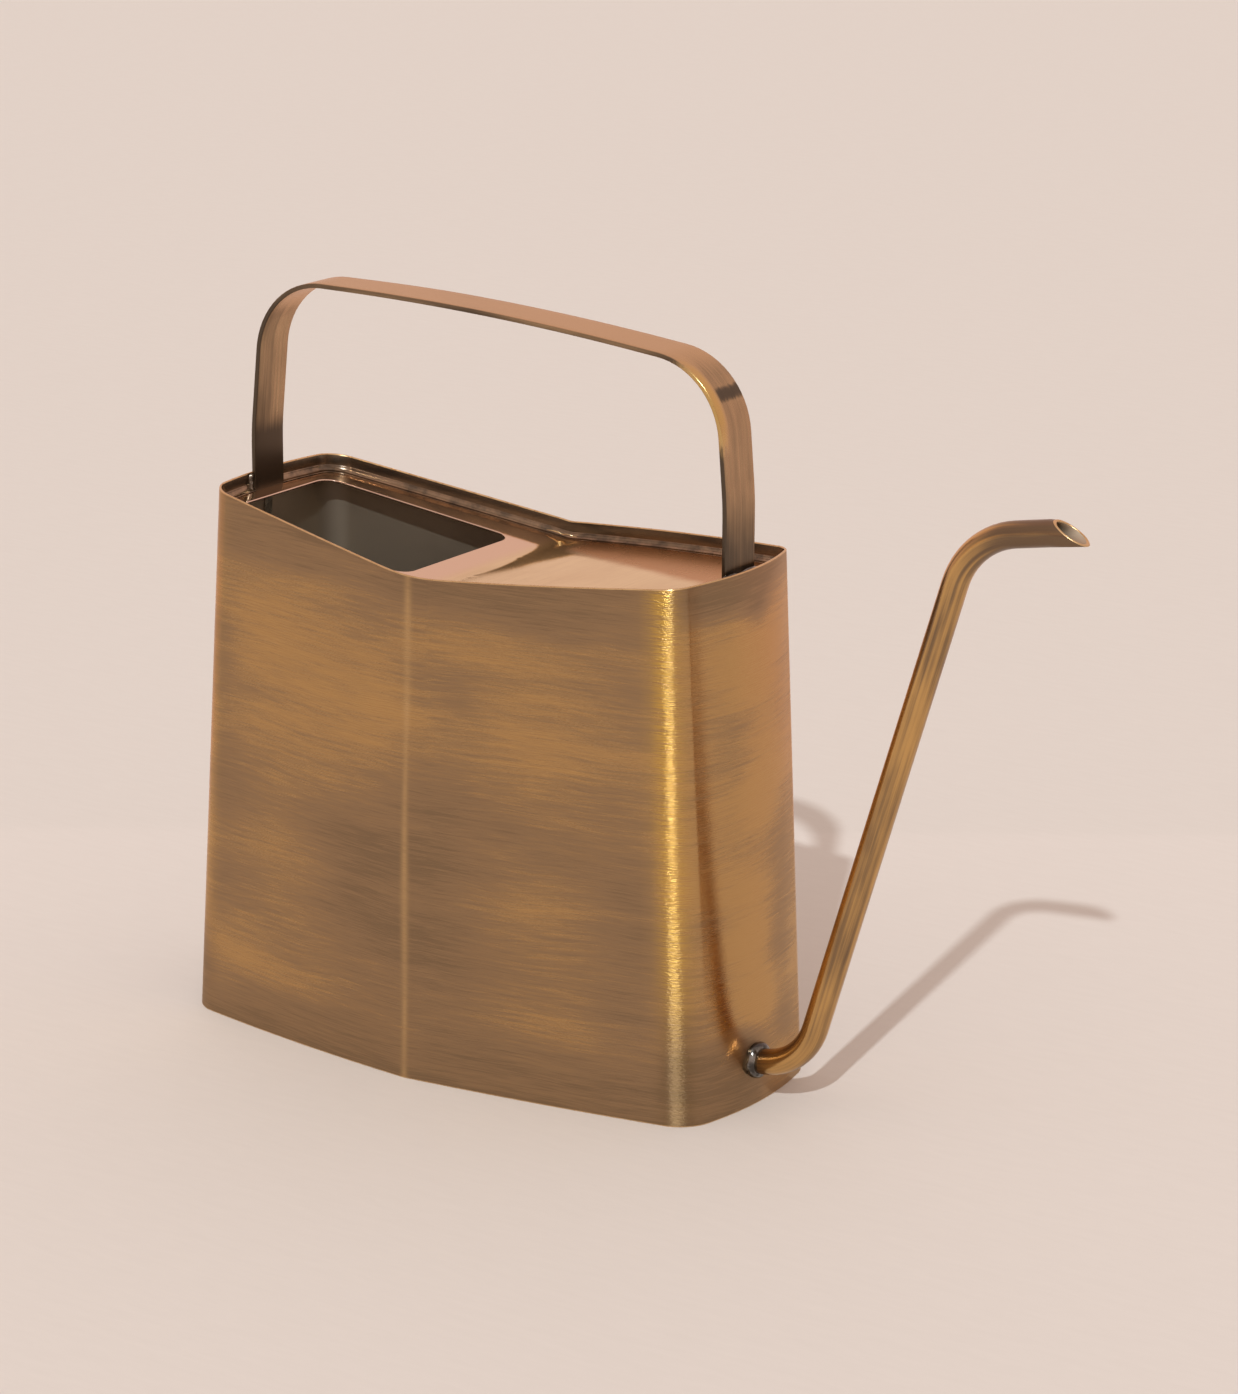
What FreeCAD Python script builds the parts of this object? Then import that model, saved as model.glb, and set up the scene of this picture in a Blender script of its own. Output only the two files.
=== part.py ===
# Long-spouted watering can in antique brass sheet, one STEP file per piece.
# Millimetres. +X runs towards the spout, +Y across the can, +Z up. The origin is on the floor, midway
# between the front and back creases, right under the valley of the rim.
import FreeCAD, Part
import math
import os

from FreeCAD import Vector

# Sheet, strap and tube stock
SHEET = 0.8
STRAP_WIDTH = 17.5
STRAP_THICKNESS = 1.6
TUBE_RADIUS = 4.35
TUBE_WALL = 0.8

# Plan of the body at the floor and at RIM_LEVEL. The wall between them is straight, and goes on above.
# left and right are the distances from the crease to the corners, which the bulged ends pass.
RIM_LEVEL = 180.0
FLOOR_PLAN = {
    "left": 103.1,
    "right": 104.6,
    "end_half_width": 36.7,
    "crease_half_width": 51.9,
    "left_end_bulge": 4.4,
    "right_end_bulge": 5.2,
    "left_panel_bulge": 1.8,
    "right_panel_bulge": 1.3,
    "left_corner_radius": 14.2,
    "right_corner_radius": 14.1,
    "crease_radius": 30.0,
}
RIM_PLAN = {
    "left": 93.3,
    "right": 95.8,
    "end_half_width": 33.7,
    "crease_half_width": 47.2,
    "left_end_bulge": 2.6,
    "right_end_bulge": 7.0,
    "left_panel_bulge": 0.3,
    "right_panel_bulge": 3.2,
    "left_corner_radius": 11.2,
    "right_corner_radius": 9.0,
    "crease_radius": 80.0,
}
# A bulged side is rounded about one corner point, which stands this many bulges out, so that the arc
# inside it reaches about one. ARC_SHARE is how much of the room beside the corner point the arc takes up.
BULGE_REACH = 1.48
ARC_SHARE = 0.9

# The rim falls from both ends to a valley over the creases, gently rounded in front and crisp at the back
RIM_VALLEY = 172.4
RIM_SLOPE_LEFT = 0.159
RIM_SLOPE_RIGHT = 0.079
FRONT_VALLEY_RADIUS = 110.0
BACK_VALLEY_RADIUS = 12.0

# Deck plate, parallel to the rim, with the fill opening in its left half
DECK_RECESS = 6.0
DECK_FOLD_RADIUS = 25.0
OPENING_LEFT = -87.3
OPENING_RIGHT = -13.0
OPENING_LEFT_FRONT = -25.5
OPENING_LEFT_BACK = 23.1
OPENING_RIGHT_FRONT = -32.7
OPENING_RIGHT_BACK = 30.1
OPENING_CORNER_RADIUS = 6.0

# Outer face of the handle strap, from the left foot over the grip to the right foot
STRAP_PLANE = -1.25
STRAP_FOOT_LEFT = -94.1
STRAP_FOOT_RIGHT = 98.8
STRAP_KNEE_HEIGHT = 202.4
STRAP_SHOULDER_LEFT = (-88.8, 256.4)
STRAP_CROWN = (3.8, 256.4)
STRAP_SHOULDER_RIGHT = (95.0, 247.0)
STRAP_KNEE_RADIUS = 120.0
STRAP_SHOULDER_RADIUS = 28.0
STRAP_CROWN_RADIUS = 1150.0

# Centreline of the spout, in an upright plane a little in front of the middle
SPOUT_PLANE = -3.0
SPOUT_HEIGHT = 15.0
SPOUT_START = 105.6
SPOUT_LEAN = 0.302
SPOUT_LINE_AT_FLOOR = 122.1
SPOUT_BASE_RADIUS = 22.5
SPOUT_NECK_RADIUS = 27.0
SPOUT_TIP = (219.0, 210.2)
SPOUT_TIP_RISE = 0.1776
SPOUT_CUT_FALL = 0.561
SPOUT_OVERRUN = 20.0

# Solder: a ring round the spout, fillets along the plates, seams up the ends, fillings at the strap's feet
RING_RADIUS = 6.9
RING_LENGTH = 2.6
RING_ROOT = 3.0
RING_HOLLOW = 0.4
SEAM_SIZE = 1.4
END_SEAM_WIDTH = 4.0
END_SEAM_THICKNESS = 0.5
FOOT_BEAD_RADIUS = 1.2
FOOT_SOLDER_DROP = 0.5

# The body is first drawn between these heights, and blocks used for cutting reach FAR past the can
LOFT_LOW = -5.0
LOFT_HIGH = 205.0
FAR = 400.0


def plan_at(height):
    """Plan sizes of the body at a height, on the straight line through its two given levels."""
    share = height / RIM_LEVEL
    return {name: FLOOR_PLAN[name] + (RIM_PLAN[name] - FLOOR_PLAN[name]) * share for name in FLOOR_PLAN}


def unit(start, end):
    """Direction from one 2-D point to another, and the distance between them."""
    run = (end[0] - start[0], end[1] - start[1])
    length = math.hypot(run[0], run[1])
    return (run[0] / length, run[1] / length), length


def corner_arc(before, corner, after, radius):
    """Arc that rounds a 2-D corner: centre, radius, side it turns to, start angle and angle turned."""
    entry, _ = unit(before, corner)
    leave, _ = unit(corner, after)
    cross = entry[0] * leave[1] - entry[1] * leave[0]
    turn = math.atan2(cross, entry[0] * leave[0] + entry[1] * leave[1])
    side = math.copysign(1.0, turn)
    setback = radius * math.tan(abs(turn) / 2.0)
    start = (corner[0] - entry[0] * setback, corner[1] - entry[1] * setback)
    centre = (start[0] - side * entry[1] * radius, start[1] + side * entry[0] * radius)
    first = math.atan2(side * -entry[0], side * entry[1])
    return {"centre": centre, "radius": radius, "side": side, "first": first, "turn": turn}


def turn_radius(before, corner, after, setback):
    """Radius of the arc that rounds a corner and touches both its sides at a distance from the corner."""
    entry, _ = unit(before, corner)
    leave, _ = unit(corner, after)
    turn = math.acos(max(-1.0, min(1.0, entry[0] * leave[0] + entry[1] * leave[1])))
    return setback / math.tan(turn / 2.0)


def arc_points(arc, inset):
    """Start, middle and end of a corner arc, moved sideways by the inset towards the left of the path."""
    radius = arc["radius"] - arc["side"] * inset
    x, y = arc["centre"]
    angles = [arc["first"] + arc["turn"] * share for share in (0.0, 0.5, 1.0)]
    return [(x + radius * math.cos(angle), y + radius * math.sin(angle)) for angle in angles]


def half_plan(sizes, side):
    """Corners and radii of one half of the plan, from the front crease round one end to the back crease."""
    name = "right" if side > 0 else "left"
    length = sizes[name]
    end = sizes["end_half_width"]
    crease = sizes["crease_half_width"]
    bulge = BULGE_REACH * sizes[name + "_panel_bulge"]
    slope, _ = unit((0.0, -crease), (length, -end))
    middle = (length / 2.0 + bulge * slope[1], (crease + end) / 2.0 + bulge * slope[0])
    tip = (length + BULGE_REACH * sizes[name + "_end_bulge"], 0.0)
    corners = [(middle[0], -middle[1]), (length, -end), tip, (length, end), (middle[0], middle[1])]
    corner_radius = sizes[name + "_corner_radius"]
    crease_setback = sizes["crease_radius"] * (crease - middle[1]) / middle[0]
    entry, panel = unit(corners[0], corners[1])
    leave, cap = unit(corners[1], corners[2])
    corner_turn = math.acos(entry[0] * leave[0] + entry[1] * leave[1])
    corner_setback = corner_radius * math.tan(corner_turn / 2.0)
    panel_setback = ARC_SHARE * min(panel - corner_setback, panel - crease_setback)
    cap_setback = ARC_SHARE * (cap - corner_setback)
    panel_radius = turn_radius((0.0, -crease), corners[0], corners[1], panel_setback)
    cap_radius = turn_radius(corners[1], corners[2], corners[3], cap_setback)
    radii = [panel_radius, corner_radius, cap_radius, corner_radius, panel_radius]
    if side < 0:
        corners = [(-x, y) for x, y in reversed(corners)]
    return list(zip(corners, radii))


def rounded_wire(rounds, height, inset):
    """Level closed outline through (corner, radius) pairs, moved inwards by the inset."""
    places = [corner for corner, _ in rounds]
    count = len(rounds)
    arcs = []
    for i, (corner, radius) in enumerate(rounds):
        arcs.append(corner_arc(places[i - 1], corner, places[(i + 1) % count], radius))
    edges = []
    for i, arc in enumerate(arcs):
        first, middle, last = [Vector(x, y, height) for x, y in arc_points(arc, inset)]
        following = Vector(*arc_points(arcs[(i + 1) % count], inset)[0], height)
        edges.append(Part.Arc(first, middle, last).toShape())
        edges.append(Part.LineSegment(last, following).toShape())
    return Part.Wire(edges)


def plan_wire(height, inset):
    """Closed outline of the body at a height, moved inwards by the inset."""
    sizes = plan_at(height)
    crease = sizes["crease_half_width"]
    front = [((0.0, -crease), sizes["crease_radius"])]
    back = [((0.0, crease), sizes["crease_radius"])]
    return rounded_wire(front + half_plan(sizes, 1) + back + half_plan(sizes, -1), height, inset)


def body_solid(inset):
    """The space inside the body's outline, moved inwards by the inset, past the floor and the rim."""
    return Part.makeLoft([plan_wire(LOFT_LOW, inset), plan_wire(LOFT_HIGH, inset)], True, True)


def slab(low, high):
    """Level block between two heights, wider than the can."""
    return Part.makeBox(2.0 * FAR, 2.0 * FAR, high - low, Vector(-FAR, -FAR, low))


def path_edges(corners, radii, plane_y, inset=0.0):
    """Lines and tangent arcs along an open path in the XZ plane, moved to its left by the inset."""
    start, _ = unit(corners[0], corners[1])
    finish, _ = unit(corners[-2], corners[-1])
    here = Vector(corners[0][0] - start[1] * inset, plane_y, corners[0][1] + start[0] * inset)
    end = Vector(corners[-1][0] - finish[1] * inset, plane_y, corners[-1][1] + finish[0] * inset)
    edges = []
    for i, radius in enumerate(radii):
        arc = corner_arc(corners[i], corners[i + 1], corners[i + 2], radius)
        first, middle, last = [Vector(x, plane_y, z) for x, z in arc_points(arc, inset)]
        edges.append(Part.LineSegment(here, first).toShape())
        edges.append(Part.Arc(first, middle, last).toShape())
        here = last
    edges.append(Part.LineSegment(here, end).toShape())
    return edges


def below_rim(drop, valley_radius):
    """Everything under the rim's V, moved down by the drop, as a block to cut with."""
    valley = RIM_VALLEY - drop
    left = (-FAR, valley + FAR * RIM_SLOPE_LEFT)
    right = (FAR, valley + FAR * RIM_SLOPE_RIGHT)
    edges = path_edges([left, (0.0, valley), right], [valley_radius], -FAR)
    floor = [Vector(right[0], -FAR, right[1]), Vector(FAR, -FAR, -FAR), Vector(-FAR, -FAR, -FAR)]
    floor.append(Vector(left[0], -FAR, left[1]))
    wire = Part.Wire(edges + Part.makePolygon(floor).Edges)
    return Part.Face(wire).extrude(Vector(0.0, 2.0 * FAR, 0.0))


def below_deck_top():
    """Everything under the deck's upper face."""
    return below_rim(DECK_RECESS, DECK_FOLD_RADIUS)


def below_deck_underside():
    """Everything under the deck's lower face."""
    return below_rim(DECK_RECESS + SHEET, DECK_FOLD_RADIUS + SHEET)


def half_space(side):
    """Block that fills the front (-1) or the back (1) of the plane y = 0."""
    block = Part.makeBox(2.0 * FAR, FAR, 2.0 * FAR, Vector(-FAR, 0.0, -FAR))
    return block if side > 0 else block.mirror(Vector(), Vector(0.0, 1.0, 0.0))


def spout_corners():
    """Corner points of the spout's centreline: wall, base bend, neck bend and a point past the tip."""
    base = (SPOUT_LINE_AT_FLOOR + SPOUT_LEAN * SPOUT_HEIGHT, SPOUT_HEIGHT)
    level_at_floor_line = SPOUT_TIP[1] + SPOUT_TIP_RISE * (SPOUT_LINE_AT_FLOOR - SPOUT_TIP[0])
    neck_height = level_at_floor_line / (1.0 - SPOUT_TIP_RISE * SPOUT_LEAN)
    neck = (SPOUT_LINE_AT_FLOOR + SPOUT_LEAN * neck_height, neck_height)
    past_tip = (SPOUT_TIP[0] + SPOUT_OVERRUN, SPOUT_TIP[1] + SPOUT_OVERRUN * SPOUT_TIP_RISE)
    return [(SPOUT_START, SPOUT_HEIGHT), base, neck, past_tip]


def spout_rod(radius):
    """Solid rod along the spout's centreline, running past the tip."""
    corners = spout_corners()
    path = Part.Wire(path_edges(corners, [SPOUT_BASE_RADIUS, SPOUT_NECK_RADIUS], SPOUT_PLANE))
    start = Vector(corners[0][0], SPOUT_PLANE, corners[0][1])
    section = Part.Wire(Part.makeCircle(radius, start, Vector(1.0, 0.0, 0.0)))
    return path.makePipeShell([section], True, False)


def wall_hole():
    """Round hole through the spout end, a close fit on the tube."""
    start = Vector(0.0, SPOUT_PLANE, SPOUT_HEIGHT)
    return Part.makeCylinder(TUBE_RADIUS, FAR, start, Vector(1.0, 0.0, 0.0))


def shell(side):
    """Front or back half of the body: one folded sheet from end to end, creased in the middle."""
    wall = body_solid(0.0).cut(body_solid(SHEET)).common(slab(0.0, LOFT_HIGH))
    valley_radius = BACK_VALLEY_RADIUS if side > 0 else FRONT_VALLEY_RADIUS
    return wall.common(below_rim(0.0, valley_radius)).common(half_space(side)).cut(wall_hole())


def base_plate():
    """Flat bottom inside the lower edge of the two shells, level with it."""
    return body_solid(SHEET).common(slab(0.0, SHEET))


def opening_prism():
    """Upright block through the fill opening, with rounded corners."""
    corners = [
        (OPENING_LEFT, OPENING_LEFT_FRONT),
        (OPENING_RIGHT, OPENING_RIGHT_FRONT),
        (OPENING_RIGHT, OPENING_RIGHT_BACK),
        (OPENING_LEFT, OPENING_LEFT_BACK),
    ]
    outline = rounded_wire([(corner, OPENING_CORNER_RADIUS) for corner in corners], 0.0, 0.0)
    return Part.Face(outline).extrude(Vector(0.0, 0.0, FAR))


def deck_plate():
    """Folded plate set below the rim, with the fill opening."""
    plate = body_solid(SHEET).common(below_deck_top())
    return plate.cut(below_deck_underside()).cut(opening_prism())


def handle_strap():
    """Flat strap bent over the can, both feet standing on the deck against the end walls."""
    corners = [
        (STRAP_FOOT_LEFT, 0.0),
        (STRAP_FOOT_LEFT, STRAP_KNEE_HEIGHT),
        STRAP_SHOULDER_LEFT,
        STRAP_CROWN,
        STRAP_SHOULDER_RIGHT,
        (STRAP_FOOT_RIGHT, STRAP_KNEE_HEIGHT),
        (STRAP_FOOT_RIGHT, 0.0),
    ]
    side_radii = [STRAP_KNEE_RADIUS, STRAP_SHOULDER_RADIUS]
    radii = side_radii + [STRAP_CROWN_RADIUS] + side_radii[::-1]
    front = STRAP_PLANE - STRAP_WIDTH / 2.0
    outer = path_edges(corners, radii, front)
    inner = path_edges(corners, radii, front, -STRAP_THICKNESS)
    first_cap = Part.LineSegment(outer[0].Vertexes[0].Point, inner[0].Vertexes[0].Point)
    last_cap = Part.LineSegment(outer[-1].Vertexes[-1].Point, inner[-1].Vertexes[-1].Point)
    caps = [first_cap.toShape(), last_cap.toShape()]
    outline = Part.Wire(Part.__sortEdges__(outer + inner + caps))
    strap = Part.Face(outline).extrude(Vector(0.0, STRAP_WIDTH, 0.0))
    return strap.cut(below_deck_top())


def spout_tube():
    """Thin bent tube with a slanted mouth whose lower lip stands forward."""
    tube = spout_rod(TUBE_RADIUS).cut(spout_rod(TUBE_RADIUS - TUBE_WALL))
    tip = Vector(SPOUT_TIP[0], SPOUT_PLANE, SPOUT_TIP[1])
    cutter = Part.makeBox(FAR, FAR, FAR, Vector(-FAR / 2.0, -FAR / 2.0, 0.0))
    fall = math.degrees(math.atan(SPOUT_CUT_FALL))
    cutter.rotate(Vector(), Vector(0.0, 1.0, 0.0), fall)
    cutter.translate(tip)
    return tube.cut(cutter)


def spout_solder_ring():
    """Hollow-cheeked ring of solder between the spout and the end wall."""
    wall = plan_at(SPOUT_HEIGHT)
    face = wall["right"] + wall["right_end_bulge"]
    cheek = TUBE_RADIUS + RING_HOLLOW * (RING_RADIUS - TUBE_RADIUS)
    inner_back = Vector(face - RING_ROOT, 0.0, TUBE_RADIUS)
    outer_back = Vector(face - RING_ROOT, 0.0, RING_RADIUS)
    outer_front = Vector(face, 0.0, RING_RADIUS)
    hollow = Vector(face + RING_HOLLOW * RING_LENGTH, 0.0, cheek)
    inner_front = Vector(face + RING_LENGTH, 0.0, TUBE_RADIUS)
    outline = [
        Part.LineSegment(inner_back, outer_back),
        Part.LineSegment(outer_back, outer_front),
        Part.Arc(outer_front, hollow, inner_front),
        Part.LineSegment(inner_front, inner_back),
    ]
    section = Part.Face(Part.Wire([edge.toShape() for edge in outline]))
    ring = section.revolve(Vector(), Vector(1.0, 0.0, 0.0), 360.0)
    ring.translate(Vector(0.0, SPOUT_PLANE, SPOUT_HEIGHT))
    return ring.cut(body_solid(0.0)).cut(spout_rod(TUBE_RADIUS))


def plate_seam(low, high):
    """Square run of solder along the inside of the wall, between two cutting blocks."""
    band = body_solid(SHEET).cut(body_solid(SHEET + SEAM_SIZE))
    return band.common(high).cut(low)


def deck_solder_seam(strap):
    """Solder along the deck's upper edge, broken by the strap's feet."""
    high = below_rim(DECK_RECESS - SEAM_SIZE, DECK_FOLD_RADIUS - SEAM_SIZE)
    return plate_seam(below_deck_top(), high).cut(strap)


def base_solder_seam():
    """Solder along the base plate's upper edge, inside the can."""
    return plate_seam(slab(-FAR, SHEET), slab(-FAR, SHEET + SEAM_SIZE))


def end_seam(side):
    """Solder strip up the inside of one end, over the joint between the two shells."""
    band = body_solid(SHEET).cut(body_solid(SHEET + END_SEAM_THICKNESS))
    start = 0.0 if side > 0 else -FAR
    low = SPOUT_HEIGHT + RING_RADIUS if side > 0 else SHEET + SEAM_SIZE
    strip = Part.makeBox(FAR, END_SEAM_WIDTH, FAR, Vector(start, -END_SEAM_WIDTH / 2.0, low))
    return band.common(strip).common(below_deck_underside())


def handle_solder(side, neighbours):
    """Solder that fills the gap between one strap foot and the end wall, with a bead at both its edges."""
    face = STRAP_FOOT_RIGHT if side > 0 else STRAP_FOOT_LEFT
    slope = RIM_SLOPE_RIGHT if side > 0 else RIM_SLOPE_LEFT
    height = RIM_VALLEY + abs(face) * slope - FOOT_SOLDER_DROP
    front = STRAP_PLANE - STRAP_WIDTH / 2.0
    start = face if side > 0 else face - FAR
    solder = Part.makeBox(FAR, STRAP_WIDTH, height, Vector(start, front, 0.0))
    for edge in (front, front + STRAP_WIDTH):
        bead_height = height - FOOT_BEAD_RADIUS
        bead = Part.makeCylinder(FOOT_BEAD_RADIUS, bead_height, Vector(face, edge, 0.0))
        cap = Part.makeSphere(FOOT_BEAD_RADIUS, Vector(face, edge, bead_height))
        solder = solder.fuse(bead.fuse(cap))
    solder = solder.common(body_solid(SHEET)).cut(below_deck_top())
    for neighbour in neighbours:
        solder = solder.cut(neighbour)
    return solder


def build():
    """All the pieces by name."""
    strap = handle_strap()
    pieces = {
        "front_shell": shell(-1),
        "back_shell": shell(1),
        "base_plate": base_plate(),
        "deck_plate": deck_plate(),
        "handle_strap": strap,
        "spout_tube": spout_tube(),
        "spout_solder_ring": spout_solder_ring(),
        "deck_solder_seam": deck_solder_seam(strap),
        "base_solder_seam": base_solder_seam(),
        "left_end_seam": end_seam(-1),
        "right_end_seam": end_seam(1),
    }
    neighbours = [strap, pieces["deck_solder_seam"]]
    pieces["left_handle_solder"] = handle_solder(-1, neighbours)
    pieces["right_handle_solder"] = handle_solder(1, neighbours)
    return pieces


os.makedirs("parts", exist_ok=True)
for node, shape in build().items():
    shape.exportStep("parts/" + node + ".step")
    print(node, "valid" if shape.isValid() else "NOT VALID", round(shape.Volume, 1), "mm3")
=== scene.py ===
"""Looks of the long-spouted watering can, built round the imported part.

Metres. +X runs towards the spout, +Y towards the back, +Z up. The body is drawn again as smooth sheet with
rounded edges, and so are the deck, the strap, the spout and the solder that shows.
"""

import math

import bpy
import numpy as np
from mathutils import Matrix, Vector, noise


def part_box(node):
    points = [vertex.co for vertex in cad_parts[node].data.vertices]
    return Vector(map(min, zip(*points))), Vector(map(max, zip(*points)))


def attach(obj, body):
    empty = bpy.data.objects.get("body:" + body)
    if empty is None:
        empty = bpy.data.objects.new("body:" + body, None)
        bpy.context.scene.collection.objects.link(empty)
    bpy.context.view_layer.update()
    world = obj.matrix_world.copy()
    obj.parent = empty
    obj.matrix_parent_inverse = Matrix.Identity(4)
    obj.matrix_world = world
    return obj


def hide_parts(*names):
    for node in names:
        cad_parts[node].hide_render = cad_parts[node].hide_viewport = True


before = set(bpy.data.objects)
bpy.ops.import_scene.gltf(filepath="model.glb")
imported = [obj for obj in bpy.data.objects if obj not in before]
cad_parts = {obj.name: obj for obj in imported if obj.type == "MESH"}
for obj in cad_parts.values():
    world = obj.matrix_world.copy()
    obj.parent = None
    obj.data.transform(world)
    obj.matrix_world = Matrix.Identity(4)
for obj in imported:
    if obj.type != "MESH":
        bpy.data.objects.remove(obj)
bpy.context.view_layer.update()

# ---- driving sizes of the sheet metal
MM = 0.001
SHEET = 0.0008
RIM_LEVEL = 0.180
# Sizes of the body's outline, each at the floor and at the rim's level
PLANS = {
    "left": (0.1031, 0.0933),
    "right": (0.1046, 0.0958),
    "end": (0.0367, 0.0337),
    "crease": (0.0519, 0.0472),
    "left_end_bulge": (0.0044, 0.0026),
    "right_end_bulge": (0.0052, 0.0070),
    "left_panel_bulge": (0.0018, 0.0003),
    "right_panel_bulge": (0.0013, 0.0032),
    "left_corner": (0.0142, 0.0112),
    "right_corner": (0.0141, 0.0090),
    "crease_radius": (0.030, 0.080),
}
FLOOR_PLAN, RIM_PLAN = [{name: pair[level] for name, pair in PLANS.items()} for level in range(2)]
BULGE_REACH = 1.48
ARC_SHARE = 0.9
VALLEY = 0.1724
SLOPE_LEFT = 0.159
SLOPE_RIGHT = 0.079
VALLEY_RADIUS = 0.110
BACK_VALLEY_RADIUS = 0.012

DECK_RECESS = 0.006
FOLD_RADIUS = 0.025
FILLET = 0.0022
BEAD_FROM = -0.0085
BEAD_TO = 0.0035
LIP = 0.0003
DECK_CENTRE = (-0.050, -0.0015)
OPENING = [(-0.0873, -0.0255), (-0.0130, -0.0327), (-0.0130, 0.0301), (-0.0873, 0.0231)]
OPENING_CORNER = 0.006

STRAP_THICKNESS = 0.0016
STRAP_EDGE = 0.0004
STRAP_KNEE = 0.2024
STRAP_CORNERS = [(-0.0888, 0.2564), (0.0038, 0.2564), (0.0950, 0.2470)]
STRAP_RADII = [0.120, 0.028, 1.150, 0.028, 0.120]
LEFT_LEG_NARROWER = 0.0018

TUBE_RADIUS = 0.00435
TUBE_WALL = 0.0008
SPOUT_HEIGHT = 0.015
SPOUT_LEAN = 0.302
SPOUT_FLOOR_LINE = 0.1221
SPOUT_RADII = [0.0225, 0.027]
SPOUT_TIP = (0.2190, 0.2102)
SPOUT_TIP_RISE = 0.1776
SPOUT_CUT_FALL = 0.561

# ---- plane geometry


def unit(start, end):
    """Direction from one 2-D point to another, and the distance between them."""
    run = (end[0] - start[0], end[1] - start[1])
    length = math.hypot(*run)
    return (run[0] / length, run[1] / length), length


def turning(entry, leave):
    """Angle from one unit direction to another, positive to the left."""
    return math.atan2(entry[0] * leave[1] - entry[1] * leave[0], entry[0] * leave[0] + entry[1] * leave[1])


def corner_arc(before, corner, after, radius):
    """Arc that rounds a 2-D corner: centre, radius, side it turns to, start angle and angle turned."""
    entry, _ = unit(before, corner)
    leave, _ = unit(corner, after)
    turn = turning(entry, leave)
    side = math.copysign(1.0, turn)
    setback = radius * math.tan(abs(turn) / 2.0)
    start = (corner[0] - entry[0] * setback, corner[1] - entry[1] * setback)
    centre = (start[0] - side * entry[1] * radius, start[1] + side * entry[0] * radius)
    first = math.atan2(side * -entry[0], side * entry[1])
    return {"centre": centre, "radius": radius, "side": side, "first": first, "turn": turn}


def arc_point(arc, share, inset=0.0):
    """Point on an arc, moved towards the left of the path by the inset."""
    radius = arc["radius"] - arc["side"] * inset
    angle = arc["first"] + arc["turn"] * share
    return (arc["centre"][0] + radius * math.cos(angle), arc["centre"][1] + radius * math.sin(angle))


def rounded_loop(corners, radii, steps, line_steps, inset=0.0):
    """Points round a closed outline: steps per corner arc, line_steps per straight between them."""
    count = len(corners)
    following = corners[1:] + corners[:1]
    arcs = [corner_arc(corners[i - 1], corners[i], following[i], radii[i]) for i in range(count)]
    points = []
    for i, arc in enumerate(arcs):
        points += [arc_point(arc, n / steps[i], inset) for n in range(steps[i] + 1)]
        x, y = points[-1]
        run_x, run_y = np.subtract(arc_point(arcs[(i + 1) % count], 0.0, inset), (x, y))
        points += [(x + run_x * n / line_steps, y + run_y * n / line_steps) for n in range(1, line_steps)]
    return np.array(points)


def rounded_path(corners, radii, spacing):
    """Points along an open path with rounded corners, about one spacing apart."""
    points = [corners[0]]
    for i, radius in enumerate(radii):
        arc = corner_arc(corners[i], corners[i + 1], corners[i + 2], radius)
        count = max(10, int(abs(arc["turn"]) * radius / spacing))
        add_line(points, arc_point(arc, 0.0), spacing)
        points += [arc_point(arc, n / count) for n in range(1, count + 1)]
    add_line(points, corners[-1], spacing)
    return np.array(points)


def add_line(points, end, spacing):
    """Extends a list of 2-D points along a straight line."""
    direction, length = unit(points[-1], end)
    x, y = points[-1]
    count = max(1, int(length / spacing))
    steps = [length * n / count for n in range(1, count + 1)]
    points += [(x + direction[0] * step, y + direction[1] * step) for step in steps]


def turn_radius(before, corner, after, setback):
    """Radius of the arc that rounds a corner and touches both its sides at a distance from the corner."""
    entry, _ = unit(before, corner)
    leave, _ = unit(corner, after)
    return setback / math.tan(abs(turning(entry, leave)) / 2.0)


def half_plan(sizes, side):
    """Corners and radii of one half of the body's outline, from the front crease round one end."""
    name = "right" if side > 0 else "left"
    length, end, crease = sizes[name], sizes["end"], sizes["crease"]
    bulge = BULGE_REACH * sizes[name + "_panel_bulge"]
    slope, _ = unit((0.0, -crease), (length, -end))
    middle = (length / 2.0 + bulge * slope[1], (crease + end) / 2.0 + bulge * slope[0])
    tip = (length + BULGE_REACH * sizes[name + "_end_bulge"], 0.0)
    corners = [(middle[0], -middle[1]), (length, -end), tip, (length, end), middle]
    corner_radius = sizes[name + "_corner"]
    crease_setback = sizes["crease_radius"] * (crease - middle[1]) / middle[0]
    entry, panel = unit(corners[0], corners[1])
    leave, cap = unit(corners[1], corners[2])
    corner_setback = corner_radius * math.tan(abs(turning(entry, leave)) / 2.0)
    panel_setback = ARC_SHARE * min(panel - corner_setback, panel - crease_setback)
    panel_radius = turn_radius((0.0, -crease), corners[0], corners[1], panel_setback)
    cap_radius = turn_radius(corners[1], tip, corners[3], ARC_SHARE * (cap - corner_setback))
    radii = [panel_radius, corner_radius, cap_radius, corner_radius, panel_radius]
    if side < 0:
        corners = [(-x, y) for x, y in reversed(corners)]
    return corners, radii


CREASE_STEPS, PANEL_STEPS, CORNER_STEPS, CAP_STEPS, LINE_STEPS = 14, 22, 28, 26, 4
HALF_STEPS = [PANEL_STEPS, CORNER_STEPS, CAP_STEPS, CORNER_STEPS, PANEL_STEPS]
# Samples from an end's middle to a crease's middle, and from the left end's middle to the loop's start
QUARTER = CAP_STEPS // 2 + CORNER_STEPS + PANEL_STEPS + 3 * LINE_STEPS + CREASE_STEPS // 2
LEFT_END_BACK = QUARTER - CREASE_STEPS // 2


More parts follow.
